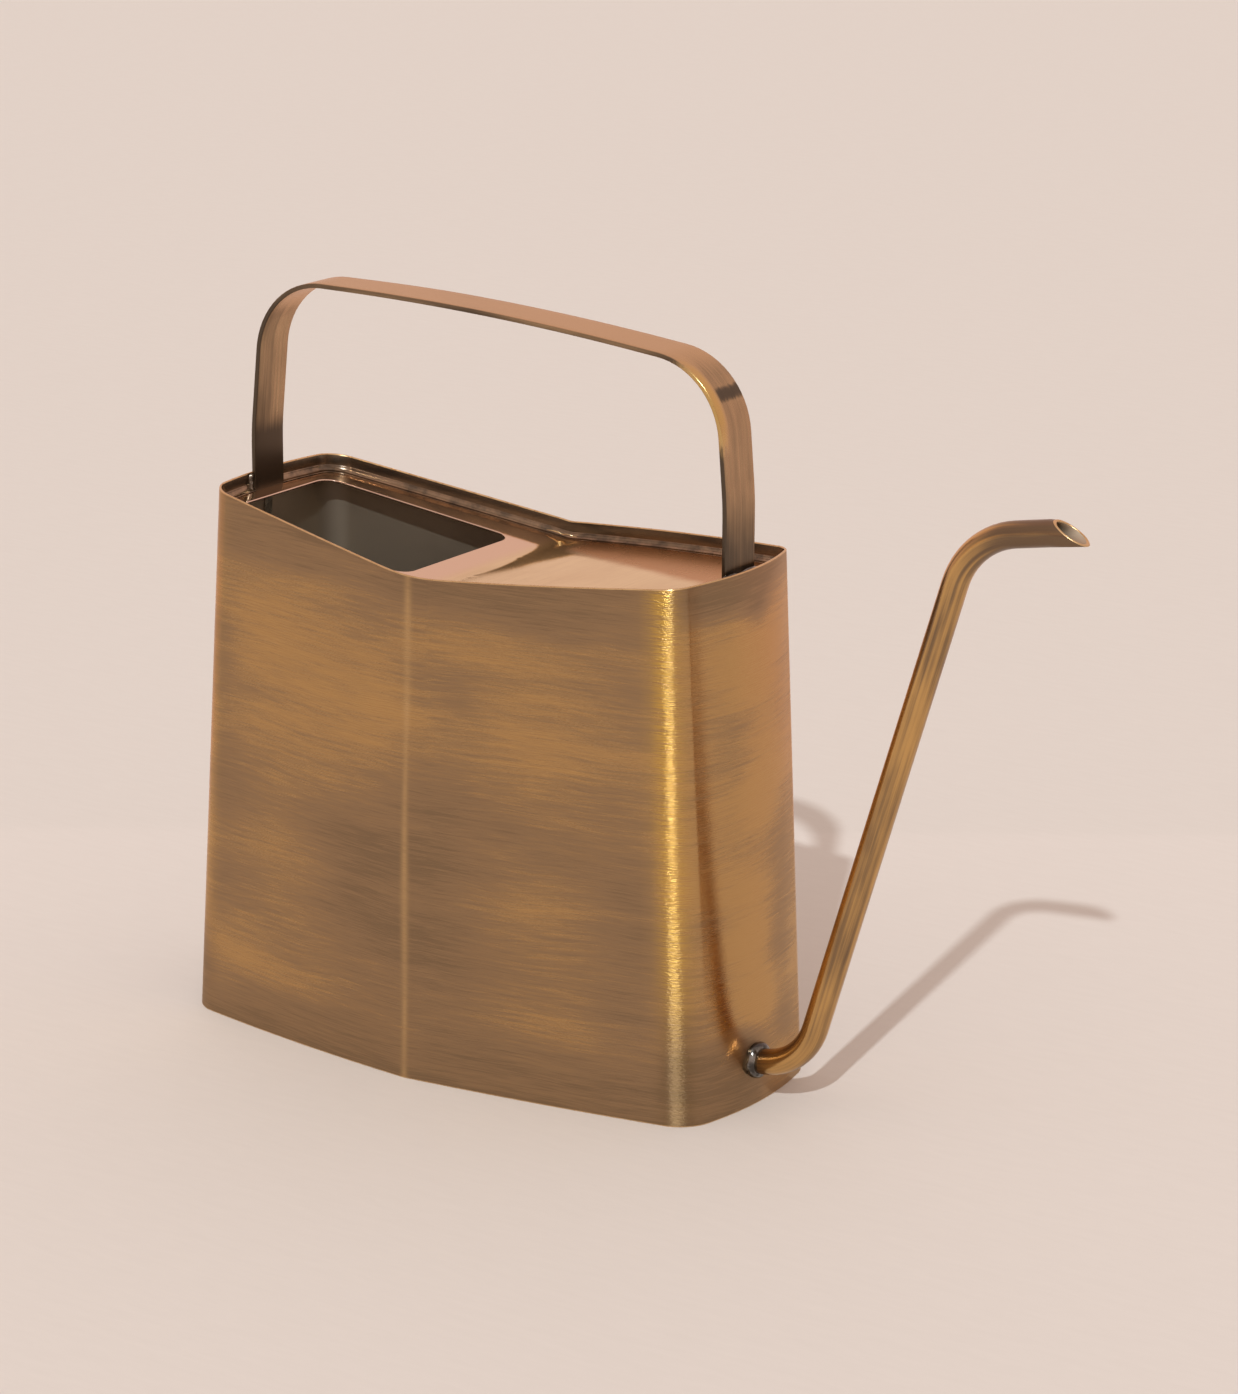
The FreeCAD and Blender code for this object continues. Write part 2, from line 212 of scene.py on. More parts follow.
def body_loop(sizes, inset):
    """Body outline at one level, from the left of the front crease's arc to the right and round."""
    right, right_radii = half_plan(sizes, 1)
    left, left_radii = half_plan(sizes, -1)
    corners = [(0.0, -sizes["crease"])] + right + [(0.0, sizes["crease"])] + left
    radii = [sizes["crease_radius"]] + right_radii + [sizes["crease_radius"]] + left_radii
    steps = [CREASE_STEPS] + HALF_STEPS + [CREASE_STEPS] + HALF_STEPS
    return rounded_loop(corners, radii, steps, LINE_STEPS, inset)


def body_points(inset):
    """Outlines at the floor and at the rim level, started at the middle of the left end."""
    loops = [body_loop(FLOOR_PLAN, inset), body_loop(RIM_PLAN, inset)]
    start = len(loops[0]) - LEFT_END_BACK
    return [np.roll(loop, -start, axis=0) for loop in loops]


def wall_point(loops, k, height):
    """Point of a wall at a height: the wall is straight between its two given outlines."""
    share = height / RIM_LEVEL
    return loops[0][k] + (loops[1][k] - loops[0][k]) * share


def valley(x, drop, radius):
    """Height of the rim's V at x, moved down by the drop, with its rounded bottom. Also its slope there."""
    left, right = math.atan(SLOPE_LEFT), math.atan(SLOPE_RIGHT)
    setback = radius * math.tan((left + right) / 2.0)
    start, end = -setback * math.cos(left), setback * math.cos(right)
    if x <= start:
        return VALLEY - drop - x * SLOPE_LEFT, -SLOPE_LEFT
    if x >= end:
        return VALLEY - drop + x * SLOPE_RIGHT, SLOPE_RIGHT
    centre_x = start + radius * math.sin(left)
    centre_z = VALLEY - drop + setback * math.sin(left) + radius * math.cos(left)
    down = math.sqrt(radius ** 2 - (x - centre_x) ** 2)
    return centre_z - down, (x - centre_x) / down


def rim_height(x, y=-1.0):
    """Height of the rim at x: its valley is gently rounded along the front and crisp along the back."""
    return valley(x, 0.0, BACK_VALLEY_RADIUS if y > 0.0 else VALLEY_RADIUS)[0]


def deck_height(x):
    """Height of the deck's upper face at x."""
    return valley(x, DECK_RECESS, FOLD_RADIUS)[0]


# ---- mesh building


def new_object(name, vertices, faces):
    """Smooth mesh object in the scene."""
    mesh = bpy.data.meshes.new(name)
    mesh.from_pydata(vertices, [], faces)
    mesh.shade_smooth()
    thing = bpy.data.objects.new(name, mesh)
    bpy.context.scene.collection.objects.link(thing)
    return thing


def grid_mesh(name, rows, closed=False, uvs=None, fields=None):
    """Smooth mesh from rows of points: one face between each four neighbours.

    uvs are rows of (u, v) in metres, and fields are rows of numbers kept as named point values.
    """
    height, width = len(rows), len(rows[0])
    vertices = [tuple(point) for row in rows for point in row]
    across = width if closed else width - 1
    faces = []
    for i in range(height - 1):
        for j in range(across):
            a, b = i * width + j, i * width + (j + 1) % width
            faces.append((a, b, b + width, a + width))
    thing = new_object(name, vertices, faces)
    mesh = thing.data
    if uvs is not None:
        flat = [uv for row in uvs for uv in row]
        layer = mesh.uv_layers.new(name="brush")
        wrap = flat[width - 1][0] + flat[1][0] - flat[0][0]
        for polygon in mesh.polygons:
            corners = [mesh.loops[i].vertex_index for i in polygon.loop_indices]
            spans = closed and {c % width for c in corners} == {0, width - 1}
            for loop, corner in zip(polygon.loop_indices, corners):
                u, v = flat[corner]
                layer.data[loop].uv = (wrap if spans and corner % width == 0 else u, v)
    for key, values in (fields or {}).items():
        attribute = mesh.attributes.new(key, "FLOAT", "POINT")
        attribute.data.foreach_set("value", [float(value) for row in values for value in row])
    return thing


def finish_piece(thing, materials, slot, *nodes):
    """Gives a piece its materials and its ride, and hides the nodes that it stands for. Its slot is not
    used.
    """
    for material in materials:
        thing.data.materials.append(material)
    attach(thing, "root")
    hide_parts(*nodes)


def lumps(point, scale, seed):
    """Smooth repeatable noise from -1 to 1 at a point."""
    return noise.noise(Vector(point) * scale + Vector((seed * 7.3, seed * 3.1, seed * 1.7)))


def soft_spot(x, z, spot):
    """Strength that one soft oval spot has at a place in metres."""
    middle_x, middle_z, half_length, half_height, strength = spot
    away = ((x / MM - middle_x) / half_length) ** 2 + ((z / MM - middle_z) / half_height) ** 2
    return strength * math.exp(-away)


# ---- where the patina and the painted shade lie

# Dark (strength above 0) and rubbed (below 0) spots on each face, in millimetres but for the strength:
# centre along the wall, centre's height, half length, half height, strength
FRONT_SPOTS = [
    (-90, 176, 50, 10, 0.55),
    (-40, 168, 40, 7, 0.40),
    (-70, 150, 35, 12, -0.45),
    (-30, 128, 45, 14, -0.50),
    (-90, 135, 10, 20, 0.55),
    (-60, 112, 40, 10, -0.30),
    (-88, 90, 22, 22, 0.55),
    (-35, 83, 35, 16, 0.50),
    (-70, 66, 40, 8, -0.20),
    (-20, 50, 22, 30, 0.65),
    (-85, 45, 35, 12, 0.35),
    (-72, 27, 45, 9, -0.60),
    (-50, 8, 60, 10, 0.50),
    (45, 168, 55, 9, 0.85),
    (75, 158, 30, 10, 0.35),
    (30, 150, 40, 8, -0.45),
    (12, 136, 16, 12, 0.55),
    (80, 136, 30, 10, 0.30),
    (45, 122, 50, 9, -0.45),
    (20, 98, 30, 16, 0.55),
    (75, 94, 30, 16, 0.25),
    (85, 78, 16, 20, 0.55),
    (12, 60, 18, 30, 0.65),
    (60, 62, 40, 10, -0.25),
    (40, 30, 40, 12, -0.30),
    (50, 45, 60, 20, 0.35),
    (60, 10, 50, 10, 0.60),
    (80, 34, 20, 12, 0.25),
]
END_SPOTS = [
    (-10, 175, 30, 7, 1.10),
    (4, 166, 8, 6, 0.60),
    (0, 150, 16, 20, -0.50),
    (-6, 128, 20, 12, 0.35),
    (6, 108, 12, 30, -0.35),
    (16, 85, 20, 14, 0.45),
    (-4, 62, 18, 12, -0.30),
    (14, 54, 10, 24, 0.50),
    (-2, 34, 12, 12, -0.70),
    (-8, 16, 11, 14, 1.50),
    (-30, 12, 12, 16, 1.05),
    (14, 24, 12, 8, 0.40),
]
BACK_SPOTS = [
    (-60, 165, 50, 10, 0.45),
    (50, 160, 50, 10, 0.40),
    (-40, 130, 45, 16, -0.45),
    (60, 118, 35, 16, 0.50),
    (15, 100, 25, 20, -0.35),
    (-70, 84, 30, 22, 0.55),
    (30, 62, 50, 12, -0.40),
    (-20, 44, 30, 18, 0.55),
    (80, 34, 25, 20, 0.45),
    (-70, 22, 40, 10, -0.50),
    (10, 8, 70, 9, 0.50),
]
SPOT_STRENGTH = 0.62
END_SPOT_SHARE = 1.9


def patina_and_shade_at(x, y, z):
    """How dark the patina and the painted shade are at a place on the body, from about 0 to 1, before the
    fine streaks.

    Darker near the floor, at the foot of the corners and along both edges, lighter on the end walls. The
    thin dark line along the floor edge is a painted contact shadow. The darkening at the foot of the corners
    is painted shade that dims the corner highlight there.
    """
    end = min(1.0, max(0.0, (abs(x) - 0.088) / 0.010))
    face = BACK_SPOTS if y > 0.0 else FRONT_SPOTS
    level = sum(soft_spot(x, z, spot) for spot in face) * (1.0 - end)
    level += END_SPOT_SHARE * sum(soft_spot(y, z, spot) for spot in END_SPOTS) * end
    level += 0.30 * max(0.0, 1.0 - z / 0.090) * (1.0 - end) - 0.37 * end
    # Painted shade at the foot of the corners, which dims their highlight near the floor.
    level += 0.90 * max(0.0, 1.0 - z / 0.070) * corner_highlight_mask(x, y, z)
    level = 0.54 + SPOT_STRENGTH * level + 0.24 * lumps((x, y, z * 2.2), 26.0, 3)
    # A thin painted contact shadow along the floor edge, and a darker band along the rim.
    level += 0.55 * math.exp(-z / 0.0016) + 0.35 * math.exp((z - rim_height(x)) / 0.004)
    return min(1.2, max(-0.1, level))


# ---- the body's two shells

WALL_ROWS = 46
EDGE_ROWS = 5
# Zones of a sheet, which are also the numbers of its materials
OUTSIDE, EDGE, INSIDE = 0, 1, 2
CORNER_X, CORNER_Y, CORNER_REACH = 0.0990, 0.0345, 0.0048


def shell_profile(x, y):
    """Rows of a shell's section at a place on its rim: (share of the way through the sheet, height, zone).

    The share is 0 outside and 1 inside.
    """
    half = SHEET / 2.0
    top = rim_height(x, y) - half
    turns = [math.pi * n / EDGE_ROWS for n in range(1, EDGE_ROWS + 1)]
    heights = [half + (top - half) * n / WALL_ROWS for n in range(WALL_ROWS + 1)]
    rows = [(0.0, height, OUTSIDE) for height in heights]
    rows += [(0.5 - 0.5 * math.cos(turn), top + half * math.sin(turn), EDGE) for turn in turns[:-1]]
    rows += [(1.0, height, INSIDE) for height in reversed(heights)]
    rows += [(0.5 + 0.5 * math.cos(turn), half - half * math.sin(turn), EDGE) for turn in turns]
    return rows


def crease_wear(x, y, z):
    """Rubbed line down the crease, a little uneven along its height."""
    if abs(x) > 0.012:
        return 0.0
    width = 0.0013 + 0.0007 * lumps((0.0, y, z), 30.0, 9)
    wander = 0.0006 * lumps((0.0, y, z), 18.0, 4)
    return math.exp(-((x - wander) / width) ** 2) * (0.68 + 0.4 * lumps((0.0, y, z), 60.0, 5))


def corner_x(z):
    """How far from the middle plane the upright corners stand at a height."""
    return 0.0995 - 0.0088 * z / RIM_LEVEL


def corner_highlight_mask(x, y, z):
    """How close a place on a wall is to the middle of one of the four upright corners, from 0 to 1, and
    about a third as much on the left. It places the painted highlight down the corners and the painted shade
    at their foot.
    """
    away = math.hypot(abs(x) * CORNER_X / corner_x(z) - CORNER_X, abs(y) - CORNER_Y)
    return math.exp(-(away / CORNER_REACH) ** 2) * (1.0 if x > 0.0 else 0.35)


def brush_round_body(thing, rows, lengths, behind):
    """Brush map of a shell: distance round the body, and height.

    The distance runs on across both end walls, so the only break in the brushing is at the back crease.
    """
    layer = thing.data.uv_layers.new(name="brush")
    count = len(lengths) - 1
    for polygon in thing.data.polygons:
        row, column = divmod(polygon.index, count)
        shift = 0.0 if not behind else (lengths[-1] if column < QUARTER else -lengths[-1])
        places = ((row, column), (row, column + 1), (row + 1, column + 1), (row + 1, column))
        for loop, (i, j) in zip(polygon.loop_indices, places):
            layer.data[loop].uv = (lengths[j] + shift, rows[i][j][2])


def shell(name, first, count):
    """One shell: the stretch of the outline from one end's middle to the other, as closed rounded sheet."""
    outer, inner = body_points(0.0), body_points(SHEET)
    total = len(outer[0])
    columns = [(first + n) % total for n in range(count + 1)]
    lengths = [0.0]
    for a, b in zip(columns, columns[1:]):
        lengths.append(lengths[-1] + float(np.hypot(*(outer[0][b] - outer[0][a]))))
    sections = [shell_profile(*outer[1][k]) for k in columns]
    zones = [part for _, _, part in sections[0]]
    rows = []
    fields = {"patina_and_shade": [], "wear": [], "corner": [], "above_deck": []}
    for i, part in enumerate(zones):
        row = []
        for k, section in zip(columns, sections):
            share, z, _ = section[i]
            x, y = wall_point(outer, k, z) * (1.0 - share) + wall_point(inner, k, z) * share
            row.append((float(x), float(y), z))
        rows.append(row)
        fields["patina_and_shade"].append([patina_and_shade_at(*point) for point in row])
        fields["wear"].append([crease_wear(*point) if part == OUTSIDE else 0.0 for point in row])
        fields["corner"].append([corner_highlight_mask(*point) for point in row])
        fields["above_deck"].append([1.0 if z > deck_height(x) - 0.002 else 0.0 for x, _, z in row])
    thing = grid_mesh(name, rows, fields=fields)
    brush_round_body(thing, rows, lengths, first > 0)
    for polygon in thing.data.polygons:
        here, ahead = zones[polygon.index // count:][:2]
        polygon.material_index = here if here == ahead else EDGE
    return thing


# ---- deck, with its opening and its fillet


def angles_round(loop):
    """Directions of a loop's points as seen from the deck's centre."""
    run = loop - np.array(DECK_CENTRE)
    return np.arctan2(run[:, 1], run[:, 0])


def ring_points(loop, angles):
    """Where rays from the deck's centre at the given angles meet a loop."""
    known = angles_round(loop)
    order = np.argsort(known)
    radii = np.hypot(*(loop - np.array(DECK_CENTRE)).T)[order]
    full = 2.0 * math.pi
    known = np.concatenate([known[order] - full, known[order], known[order] + full])
    reach = np.interp(angles, known, np.tile(radii, 3))
    return np.array(DECK_CENTRE) + np.stack([reach * np.cos(angles), reach * np.sin(angles)], axis=1)


DECK_RINGS = 26
LIP_RINGS = 4


def opening_loop(inset):
    """Outline of the fill opening, moved inwards by the inset."""
    return rounded_loop(OPENING, [OPENING_CORNER] * 4, [24] * 4, 60, inset)


def deck_outline():
    """Inner face of the walls at the deck's level."""
    loops = body_points(SHEET)
    points = [wall_point(loops, k, deck_height(float(loops[1][k][0]))) for k in range(len(loops[0]))]
    return np.array(points)


def deck():
    """Folded plate whose opening has a softly rounded edge."""
    outline = deck_outline()
    angles = np.concatenate([angles_round(outline), angles_round(opening_loop(0.0))])
    angles = np.unique(np.round(angles, 4))
    outer = ring_points(outline, angles)
    edge = ring_points(opening_loop(-LIP), angles)
    face = [outer * (1.0 - n / DECK_RINGS) + edge * (n / DECK_RINGS) for n in range(DECK_RINGS + 1)]
    lip = []
    for n in range(LIP_RINGS + 1):
        angle = math.pi / 2.0 * n / LIP_RINGS
        loop = opening_loop(-LIP * (1.0 - math.sin(angle)))
        lip.append((ring_points(loop, angles), LIP * (1.0 - math.cos(angle))))
    levels = [(ring, 0.0) for ring in face]
    levels += [(ring, -drop) for ring, drop in lip[1:]]
    levels += [(ring, drop - SHEET) for ring, drop in reversed(lip)]
    levels += [(ring, -SHEET) for ring in reversed(face[:-1])]
    rows = [[(float(x), float(y), deck_height(float(x)) + drop) for x, y in ring] for ring, drop in levels]
    thing = grid_mesh("deck", rows, True)
    layer = thing.data.uv_layers.new(name="brush")
    for loop in thing.data.loops:
        layer.data[loop.index].uv = thing.data.vertices[loop.vertex_index].co.xy
    normals = []
    for index, vertex in enumerate(thing.data.vertices):
        up = Vector((-valley(vertex.co.x, DECK_RECESS, FOLD_RADIUS)[1], 0.0, 1.0)).normalized()
        ring = index // len(angles)
        if ring <= DECK_RINGS:
            normals.append(up)
        elif ring >= len(levels) - DECK_RINGS - 1:
            normals.append(-up)
        else:
            normals.append(vertex.normal.copy())
    thing.data.normals_split_custom_set_from_vertices(normals)
    return thing


def deck_fillet():
    """Smoothed solder in the corner between the deck and the walls, hollow in section."""
    steps = 8
    rows = []
    loops = body_points(SHEET)
    count = len(loops[0])
    for n in range(-1, steps + 2):
        angle = math.pi / 2.0 * min(max(n, 0), steps) / steps
        row = []
        for k in range(count):
            place = loops[1][k]
            size = FILLET * (1.0 + 0.04 * lumps((place[0], place[1], 0.0), 30.0, 2))
            inset = size * (1.0 - math.cos(angle))
            rise = size * (1.0 - math.sin(angle))
            if n < 0:
                inset, rise = -SHEET / 4.0, size
            if n > steps:
                inset, rise = size, -SHEET / 4.0
            z = deck_height(float(place[0])) + rise
            ahead = loops[1][(k + 1) % count] - loops[1][k - 1]
            inward = np.array([-ahead[1], ahead[0]]) / np.hypot(*ahead)
            spot = wall_point(loops, k, z) + inward * inset
            row.append((float(spot[0]), float(spot[1]), z))
        rows.append(row)
    return grid_mesh("deck_fillet", rows, True)


# ---- strap


def path_lengths(points):
    """Distance along a path at each of its points."""
    steps = np.hypot(*(points[1:] - points[:-1]).T)
    return np.concatenate([[0.0], np.cumsum(steps)])


def path_normals(points):
    """Unit directions square to a path, to its left."""
    ahead = np.gradient(points, axis=0)
    ahead /= np.hypot(ahead[:, 0], ahead[:, 1])[:, None]
    return np.stack([-ahead[:, 1], ahead[:, 0]], axis=1)


def strap_section(front, back):
    """Rounded flat section: (place across the strap, depth below its outer face)."""
    arc_steps, line_steps = 4, 6
    points = []
    for start, (across, depth) in enumerate((
        (back - STRAP_EDGE, STRAP_EDGE),
        (back - STRAP_EDGE, STRAP_THICKNESS - STRAP_EDGE),
        (front + STRAP_EDGE, STRAP_THICKNESS - STRAP_EDGE),
        (front + STRAP_EDGE, STRAP_EDGE),
    )):
        for n in range(arc_steps + 1):
            angle = math.pi / 2.0 * (start + n / arc_steps)
            points.append((across + STRAP_EDGE * math.sin(angle), depth - STRAP_EDGE * math.cos(angle)))
    ordered = []
    for i, (y, depth) in enumerate(points):
        ordered.append((y, depth))
        if i % (arc_steps + 1) == arc_steps:
            run_y, run_d = np.subtract(points[(i + 1) % len(points)], (y, depth)).tolist()
            shares = [n / line_steps for n in range(1, line_steps)]
            ordered += [(y + run_y * share, depth + run_d * share) for share in shares]
    return ordered


def strap():
    """Flat bar bent over the can. Its left leg is a little narrower than the rest."""
    low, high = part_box("handle_strap")
    feet = [(x, deck_height(x) - SHEET / 2.0) for x in (low.x, high.x)]
    corners = [feet[0], (low.x, STRAP_KNEE)] + STRAP_CORNERS + [(high.x, STRAP_KNEE), feet[1]]
    line = rounded_path(corners, STRAP_RADII, 0.0025)
    inward = -path_normals(line)
    lengths = path_lengths(line)
    rows, uvs = [], []
    for point, normal, length in zip(line, inward, lengths):
        share = min(1.0, max(0.0, (point[0] + 0.075) / 0.060))
        share = share * share * (3.0 - 2.0 * share)
        back = high.y - LEFT_LEG_NARROWER * (1.0 - share)
        row, uv_row = [], []
        for y, depth in strap_section(low.y, back):
            spot = point + normal * depth
            row.append((float(spot[0]), y, float(spot[1])))
            uv_row.append((y + depth * 3.0, float(length)))
        rows.append(row)
        uvs.append(uv_row)
    return grid_mesh("strap", rows, True, uvs)


# ---- spout

TUBE_STEPS = 56
MOUTH_STEPS = 5


def tube_ring(point, ahead, radius, plane_y):
    """One ring of a tube round a point of a path in the plane y = plane_y."""
    side = (-ahead[1], ahead[0])
    ring = []
    for n in range(TUBE_STEPS):
        angle = 2.0 * math.pi * n / TUBE_STEPS
        out = radius * math.cos(angle)
        y = plane_y - radius * math.sin(angle)
        ring.append((point[0] + side[0] * out, y, point[1] + side[1] * out))
    return ring


def cut_ring(ring, ahead, tip, normal):
    """A ring slid along the tube until it lies in the slanted plane of the mouth."""
    slid = []
    facing = ahead[0] * normal[0] + ahead[1] * normal[1]
    for x, y, z in ring:
        gap = ((tip[0] - x) * normal[0] + (tip[1] - z) * normal[1]) / facing
        slid.append((x + ahead[0] * gap, y, z + ahead[1] * gap))
    return slid


def spout():
    """Thin bent tube with a slanted mouth, its lip rounded over."""
    low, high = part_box("spout_tube")
    plane_y = (low.y + high.y) / 2.0
    level = SPOUT_TIP[1] + SPOUT_TIP_RISE * (SPOUT_FLOOR_LINE - SPOUT_TIP[0])
    neck_height = level / (1.0 - SPOUT_TIP_RISE * SPOUT_LEAN)
    base = (SPOUT_FLOOR_LINE + SPOUT_LEAN * SPOUT_HEIGHT, SPOUT_HEIGHT)
    neck = (SPOUT_FLOOR_LINE + SPOUT_LEAN * neck_height, neck_height)
    corners = [(low.x, SPOUT_HEIGHT), base, neck, SPOUT_TIP]
    line = rounded_path(corners, SPOUT_RADII, 0.0022)
    fall = math.atan(SPOUT_CUT_FALL)
    reach = TUBE_RADIUS / math.tan(fall + math.atan(SPOUT_TIP_RISE))
    lengths = path_lengths(line)
    keep = lengths < lengths[-1] - reach - 0.001
    line, along = line[keep], lengths[keep].tolist()
    sides = path_normals(line)
    ahead = [(side[1], -side[0]) for side in sides]
    last, _ = unit(neck, SPOUT_TIP)
    normal = (math.sin(fall), math.cos(fall))
    rows = [tube_ring(point, way, TUBE_RADIUS, plane_y) for point, way in zip(line, ahead)]
    outer, inner = [
        cut_ring(tube_ring(SPOUT_TIP, last, radius, plane_y), last, SPOUT_TIP, normal)
        for radius in (TUBE_RADIUS, TUBE_RADIUS - TUBE_WALL)
    ]
    for n in range(MOUTH_STEPS + 1):
        share = n / MOUTH_STEPS
        drop = TUBE_WALL * 0.35 * (1.0 - math.sqrt(max(0.0, 1.0 - (2.0 * share - 1.0) ** 2)))
        ring = []
        for a, b in zip(outer, inner):
            x, y, z = Vector(a).lerp(Vector(b), share)
            ring.append((x - normal[0] * drop, y, z - normal[1] * drop))
        rows.append(ring)
        along.append(along[-1] + 0.0005)
    for point, way in zip(line[::-1], ahead[::-1]):
        rows.append(tube_ring(point, way, TUBE_RADIUS - TUBE_WALL, plane_y))
        along.append(along[-1] + 0.002)
    around = 2.0 * math.pi * TUBE_RADIUS / TUBE_STEPS
    uvs = [[(around * n, length) for n in range(TUBE_STEPS)] for length in along]
    thing = grid_mesh("spout", rows, True, uvs)
    for polygon in thing.data.polygons:
        past = polygon.index // TUBE_STEPS - len(line)
        polygon.material_index = OUTSIDE if past < 0 else (EDGE if past < MOUTH_STEPS else INSIDE)
    return thing


# ---- solder


def solder_ring():
    """Hand-run ring of solder round the spout where it passes through the end wall."""
    low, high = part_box("spout_solder_ring")
    centre = (low + high) / 2.0
    steps, profile_steps = 72, 14
    outer = (high.z - low.z) / 2.0
    rows = []
    for n in range(profile_steps + 1):
        share = n / profile_steps
        angle = math.pi / 2.0 * share
        row = []
        for k in range(steps):
            turn = 2.0 * math.pi * k / steps
            bump = lumps((math.cos(turn), math.sin(turn), share * 0.6), 1.7, 6)
            ripple = lumps((math.cos(turn), math.sin(turn), share), 6.0, 8)
            swell = outer * (0.93 + 0.07 * bump + 0.02 * ripple)
            radius = TUBE_RADIUS * 0.97 + (swell - TUBE_RADIUS) * math.cos(angle) ** 0.8
            length = 0.0010 + (0.0024 + 0.0005 * bump) * math.sin(angle)
            x = low.x - 0.0006 + length
            row.append((x, centre.y + radius * math.sin(turn), centre.z + radius * math.cos(turn)))
        rows.append(row)
    rows.insert(0, [(low.x - 0.0012, y, z) for _, y, z in rows[0]])
    return grid_mesh("solder_ring", rows, True)


BEAD_RADIUS = 0.0011


def add_bead(vertices, faces, x, y, foot, top, seed):
    """Adds an upright bead of solder, with an uneven skin and a domed top, to a mesh's lists."""
    start = len(vertices)
    steps, levels = 20, 16
    for i in range(levels + 1):
        share = i / levels
        z = foot + (top - foot) * share
        dome = math.sqrt(max(0.0, 1.0 - max(0.0, (z - (top - BEAD_RADIUS)) / BEAD_RADIUS) ** 2))
        for k in range(steps):
            turn = 2.0 * math.pi * k / steps
            place = (math.cos(turn), math.sin(turn), share * 2.4)
            skin = 1.0 + 0.20 * lumps(place, 1.6, seed) + 0.06 * lumps(place, 5.0, seed)
            reach = BEAD_RADIUS * max(dome, 0.04) * skin
            vertices.append((x + reach * math.cos(turn), y + reach * math.sin(turn), z))
    for i in range(levels):
        for k in range(steps):
            a, b = start + i * steps + k, start + i * steps + (k + 1) % steps
            faces.append((a, b, b + steps, a + steps))
    faces.append(tuple(start + levels * steps + k for k in range(steps)))
    faces.append(tuple(start + k for k in reversed(range(steps))))


def foot_solder(side):
    """Solder at one strap foot: a bead up each edge of the strap, against the end wall."""
    strap_low, strap_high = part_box("handle_strap")
    name = "right" if side > 0 else "left"
    face = strap_high.x if side > 0 else strap_low.x
    back = strap_high.y - (0.0 if side > 0 else LEFT_LEG_NARROWER)
    x = face + side * 0.0004
    foot = deck_height(face) - 0.0004
    top = rim_height(face)
    vertices, faces = [], []
    add_bead(vertices, faces, x, strap_low.y - 0.0001, foot, top - 0.0001, 3.0 + side)
    add_bead(vertices, faces, x, back + 0.0001, foot, top - 0.0007, 5.0 + side)
    return new_object(name + "_foot_solder", vertices, faces)


def foot_filling():
    """Solder that fills the gap behind the right foot, sagging between the strap and the wall."""
    low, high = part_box("handle_strap")
    _, solder_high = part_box("right_handle_solder")
    end = body_points(SHEET)[1][(2 * QUARTER - 14):(2 * QUARTER + 15)]
    end = end[np.argsort(end[:, 1])]
    near = high.x - 0.0002
    steps_y, steps_x = 30, 8
    rows = []
    for i in range(steps_y + 1):
        y = low.y + (high.y - low.y) * i / steps_y
        wall = float(np.interp(y, end[:, 1], end[:, 0])) + 0.0002
        row = [(near, y, solder_high.z - 0.004)]
        for j in range(steps_x + 1):
            share = j / steps_x
            sag = 0.0009 * 4.0 * share * (1.0 - share)
            z = solder_high.z + 0.0001 - sag + 0.00035 * lumps((share, y * 160.0, 0.0), 1.3, 11)
            row.append((near + (wall - near) * share, y, z))
        row.append((wall, y, solder_high.z - 0.004))
        rows.append(row)
    return grid_mesh("right_foot_filling", rows)


def weld_bead():
    """Thin wandering bead of bright solder where the deck's fold meets the back wall."""
    back_wall = body_points(SHEET)[1][(3 * QUARTER - 30):(3 * QUARTER + 31)]
    back_wall = back_wall[np.argsort(back_wall[:, 0])]
    steps, sides = 46, 10
    rows = []
    for i in range(steps + 1):
        share = i / steps
        x = BEAD_FROM + (BEAD_TO - BEAD_FROM) * share
        wall = float(np.interp(x, back_wall[:, 0], back_wall[:, 1]))
        wave = lumps((x, 0.0, 0.0), 420.0, 12)
        y, z = wall - 0.0016 + 0.0005 * wave, deck_height(x) + 0.0013 - 0.0006 * wave
        size = 0.00028 * (1.0 + 0.45 * lumps((x, 0.5, 0.0), 900.0, 13)) * math.sin(math.pi * share) ** 0.35
        size = max(size, 0.00003)
        turns = [2.0 * math.pi * k / sides for k in range(sides)]
        rows.append([(x, y + size * math.cos(turn), z + size * math.sin(turn)) for turn in turns])
    return grid_mesh("weld_bead", rows, True)


# ---- materials


def opaque(color):
    """A colour as a socket takes it: three numbers get a fourth, and a linked colour stays as it is."""
    return (*color, 1.0) if isinstance(color, tuple) else color


